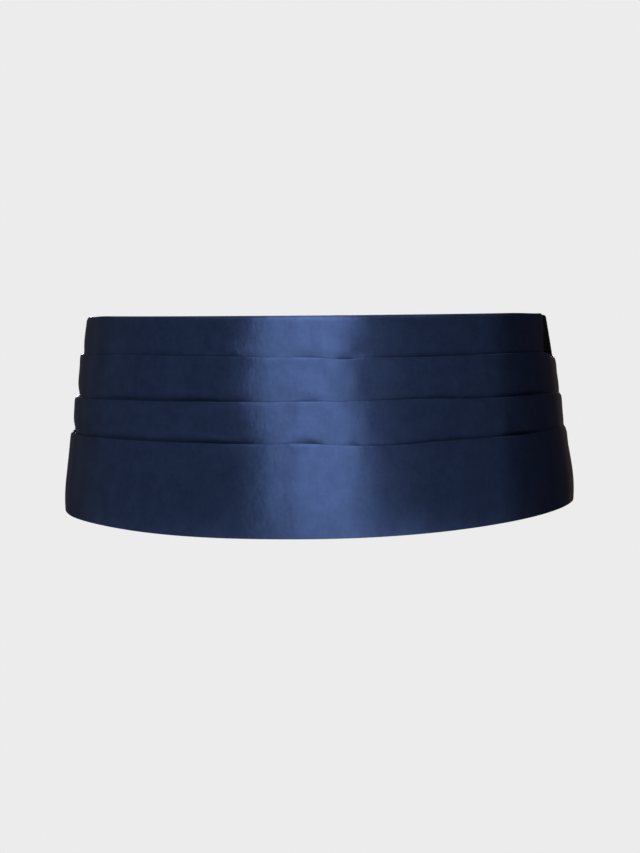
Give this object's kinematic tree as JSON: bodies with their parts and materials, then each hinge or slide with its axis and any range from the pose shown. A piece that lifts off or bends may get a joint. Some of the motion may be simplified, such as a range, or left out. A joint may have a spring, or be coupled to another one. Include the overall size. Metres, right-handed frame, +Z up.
{
  "type": "cummerbund",
  "caption": "Worn satin cummerbund with upward-facing pleats across the front and an elastic strap that hooks together at the back.",
  "frame": {"origin": "on the middle axis of the hollow where the waist goes, 20 mm below the front's top edge", "axes": "-Y is the wearer's front, +X runs to a viewer's right of that front, +Z is up"},
  "size_m": [0.3102, 0.2246, 0.1294],
  "materials": {
    "satin": "navy satin, soft sheen",
    "elastic": "black woven elastic, matt",
    "clasp_metal": "nickel plated steel"
  },
  "bodies": {
    "root": {"front_panel": "satin", "strap_left": "elastic", "strap_right": "elastic", "clasp_hook": "clasp_metal", "clasp_eye": "clasp_metal"}
  },
  "joints": []
}
